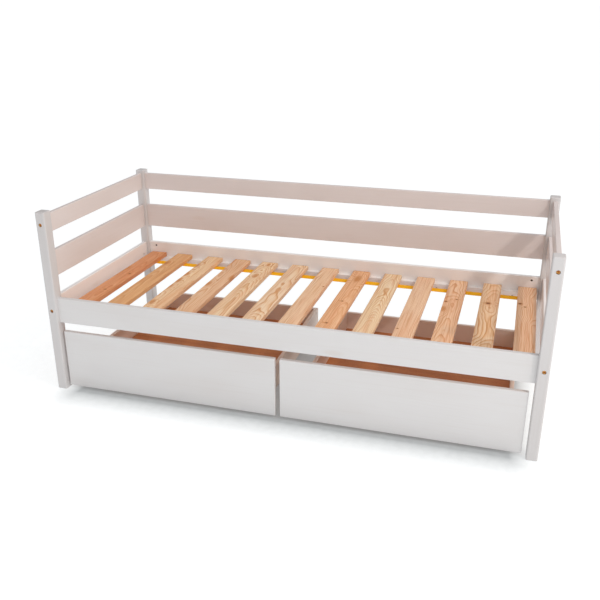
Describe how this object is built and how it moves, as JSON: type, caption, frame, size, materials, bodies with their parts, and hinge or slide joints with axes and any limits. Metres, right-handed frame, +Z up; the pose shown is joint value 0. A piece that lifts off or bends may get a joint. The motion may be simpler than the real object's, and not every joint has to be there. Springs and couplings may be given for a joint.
{
  "type": "toddler bed",
  "caption": "Low day bed with rails on three sides, slatted base on tapes and underbed drawers that roll out on castors.",
  "frame": {"origin": "on the floor, in the middle of the four posts' footprint", "axes": "+X along the bed to its right end, +Y from the open front to the back rails, +Z up"},
  "size_m": [1.965, 0.87, 0.769],
  "materials": {
    "white_lacquered_pine": "satin water-based lacquer on planed pine",
    "planed_pine": "planed, unfinished pine with knots",
    "red_pine": "planed, unfinished pine heartwood",
    "yellow_webbing": "woven polyester webbing",
    "brown_hardboard": "smooth pressed hardboard",
    "yellow_zinc_steel": "yellow zinc-plated steel, satin",
    "zinc_plated_steel": "clear zinc-plated steel, satin",
    "beech_dowel": "fluted beech, unfinished",
    "castor_nylon": "moulded nylon, matt"
  },
  "bodies": {
    "frame": {"back_bottom_rail": "white_lacquered_pine", "back_ledger": "white_lacquered_pine", "back_left_post": "white_lacquered_pine", "back_middle_rail": "white_lacquered_pine", "back_right_post": "white_lacquered_pine", "back_top_rail": "white_lacquered_pine", "barrel_nuts": "yellow_zinc_steel", "frame_bolts": "yellow_zinc_steel", "frame_dowels": "beech_dowel", "front_ledger": "white_lacquered_pine", "front_left_post": "white_lacquered_pine", "front_right_post": "white_lacquered_pine", "front_side_rail": "white_lacquered_pine", "ledger_screws": "zinc_plated_steel", "left_end_bottom_rail": "white_lacquered_pine", "left_end_middle_rail": "white_lacquered_pine", "left_end_top_rail": "white_lacquered_pine", "right_end_bottom_rail": "white_lacquered_pine", "right_end_middle_rail": "white_lacquered_pine", "right_end_top_rail": "white_lacquered_pine", "slat_01": "red_pine", "slat_02": "planed_pine", "slat_03": "planed_pine", "slat_04": "planed_pine", "slat_05": "planed_pine", "slat_06": "planed_pine", "slat_07": "planed_pine", "slat_08": "planed_pine", "slat_09": "planed_pine", "slat_10": "planed_pine", "slat_11": "planed_pine", "slat_12": "planed_pine", "slat_13": "planed_pine", "slat_tapes": "yellow_webbing"},
    "left_drawer": {"left_drawer_back": "white_lacquered_pine", "left_drawer_battens": "planed_pine", "left_drawer_bottom": "brown_hardboard", "left_drawer_castor_forks": "zinc_plated_steel", "left_drawer_front": "white_lacquered_pine", "left_drawer_inner_front": "white_lacquered_pine", "left_drawer_left_side": "white_lacquered_pine", "left_drawer_right_side": "white_lacquered_pine", "left_drawer_screws": "zinc_plated_steel"},
    "left_drawer_front_left_wheel": {"left_drawer_front_left_wheel": "castor_nylon"},
    "left_drawer_front_right_wheel": {"left_drawer_front_right_wheel": "castor_nylon"},
    "left_drawer_rear_left_wheel": {"left_drawer_rear_left_wheel": "castor_nylon"},
    "left_drawer_rear_right_wheel": {"left_drawer_rear_right_wheel": "castor_nylon"},
    "right_drawer": {"right_drawer_back": "white_lacquered_pine", "right_drawer_battens": "planed_pine", "right_drawer_bottom": "brown_hardboard", "right_drawer_castor_forks": "zinc_plated_steel", "right_drawer_front": "white_lacquered_pine", "right_drawer_inner_front": "white_lacquered_pine", "right_drawer_left_side": "white_lacquered_pine", "right_drawer_right_side": "white_lacquered_pine", "right_drawer_screws": "zinc_plated_steel"},
    "right_drawer_front_left_wheel": {"right_drawer_front_left_wheel": "castor_nylon"},
    "right_drawer_front_right_wheel": {"right_drawer_front_right_wheel": "castor_nylon"},
    "right_drawer_rear_left_wheel": {"right_drawer_rear_left_wheel": "castor_nylon"},
    "right_drawer_rear_right_wheel": {"right_drawer_rear_right_wheel": "castor_nylon"}
  },
  "joints": [
    {"name": "left_drawer_slide", "type": "slide", "parent": "frame", "child": "left_drawer", "axis": [0, -1, 0], "range_m": [0, 0.7]},
    {"name": "left_drawer_front_left_wheel_roll", "type": "hinge", "parent": "left_drawer", "child": "left_drawer_front_left_wheel", "pos_m": [-0.804, -0.339, 0.02], "axis": [1, 0, 0], "continuous": true},
    {"name": "left_drawer_front_right_wheel_roll", "type": "hinge", "parent": "left_drawer", "child": "left_drawer_front_right_wheel", "pos_m": [-0.121, -0.339, 0.02], "axis": [1, 0, 0], "continuous": true},
    {"name": "left_drawer_rear_left_wheel_roll", "type": "hinge", "parent": "left_drawer", "child": "left_drawer_rear_left_wheel", "pos_m": [-0.804, 0.317, 0.02], "axis": [1, 0, 0], "continuous": true},
    {"name": "left_drawer_rear_right_wheel_roll", "type": "hinge", "parent": "left_drawer", "child": "left_drawer_rear_right_wheel", "pos_m": [-0.121, 0.317, 0.02], "axis": [1, 0, 0], "continuous": true},
    {"name": "right_drawer_slide", "type": "slide", "parent": "frame", "child": "right_drawer", "axis": [0, -1, 0], "range_m": [0, 0.7]},
    {"name": "right_drawer_front_left_wheel_roll", "type": "hinge", "parent": "right_drawer", "child": "right_drawer_front_left_wheel", "pos_m": [0.1335, -0.339, 0.02], "axis": [1, 0, 0], "continuous": true},
    {"name": "right_drawer_front_right_wheel_roll", "type": "hinge", "parent": "right_drawer", "child": "right_drawer_front_right_wheel", "pos_m": [0.8165, -0.339, 0.02], "axis": [1, 0, 0], "continuous": true},
    {"name": "right_drawer_rear_left_wheel_roll", "type": "hinge", "parent": "right_drawer", "child": "right_drawer_rear_left_wheel", "pos_m": [0.1335, 0.317, 0.02], "axis": [1, 0, 0], "continuous": true},
    {"name": "right_drawer_rear_right_wheel_roll", "type": "hinge", "parent": "right_drawer", "child": "right_drawer_rear_right_wheel", "pos_m": [0.8165, 0.317, 0.02], "axis": [1, 0, 0], "continuous": true}
  ],
  "couplings": [
    {"joint": "left_drawer_front_left_wheel_roll", "follows": "left_drawer_slide", "rad_per_m": 50},
    {"joint": "left_drawer_front_right_wheel_roll", "follows": "left_drawer_slide", "rad_per_m": 50},
    {"joint": "left_drawer_rear_left_wheel_roll", "follows": "left_drawer_slide", "rad_per_m": 50},
    {"joint": "left_drawer_rear_right_wheel_roll", "follows": "left_drawer_slide", "rad_per_m": 50},
    {"joint": "right_drawer_front_left_wheel_roll", "follows": "right_drawer_slide", "rad_per_m": 50},
    {"joint": "right_drawer_front_right_wheel_roll", "follows": "right_drawer_slide", "rad_per_m": 50},
    {"joint": "right_drawer_rear_left_wheel_roll", "follows": "right_drawer_slide", "rad_per_m": 50},
    {"joint": "right_drawer_rear_right_wheel_roll", "follows": "right_drawer_slide", "rad_per_m": 50}
  ]
}
